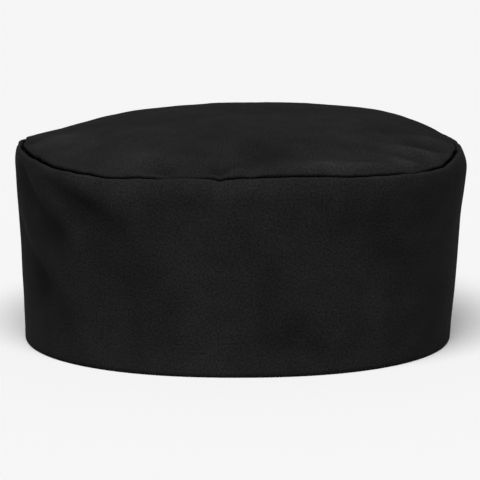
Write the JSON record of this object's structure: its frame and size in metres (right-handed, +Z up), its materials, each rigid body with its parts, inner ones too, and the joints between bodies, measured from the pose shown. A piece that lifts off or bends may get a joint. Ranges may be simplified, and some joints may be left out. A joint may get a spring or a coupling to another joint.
{
  "type": "chef skull cap",
  "caption": "Plain round skull cap of black cloth: a tall side band on a folded hem, rolled over at the rim, with a softly domed top panel sewn into it.",
  "frame": {"origin": "on the surface that the cap stands on, under the middle of the cap as seen from above", "axes": "+Z up, the front faces -Y, and +X is to the wearer's left"},
  "size_m": [0.1998, 0.1936, 0.099],
  "materials": {
    "band_cloth": "matte black cotton and polyester twill",
    "top_cloth": "matte black cotton and polyester twill"
  },
  "bodies": {
    "root": {"side_band": "band_cloth", "top_panel": "top_cloth"}
  },
  "joints": []
}
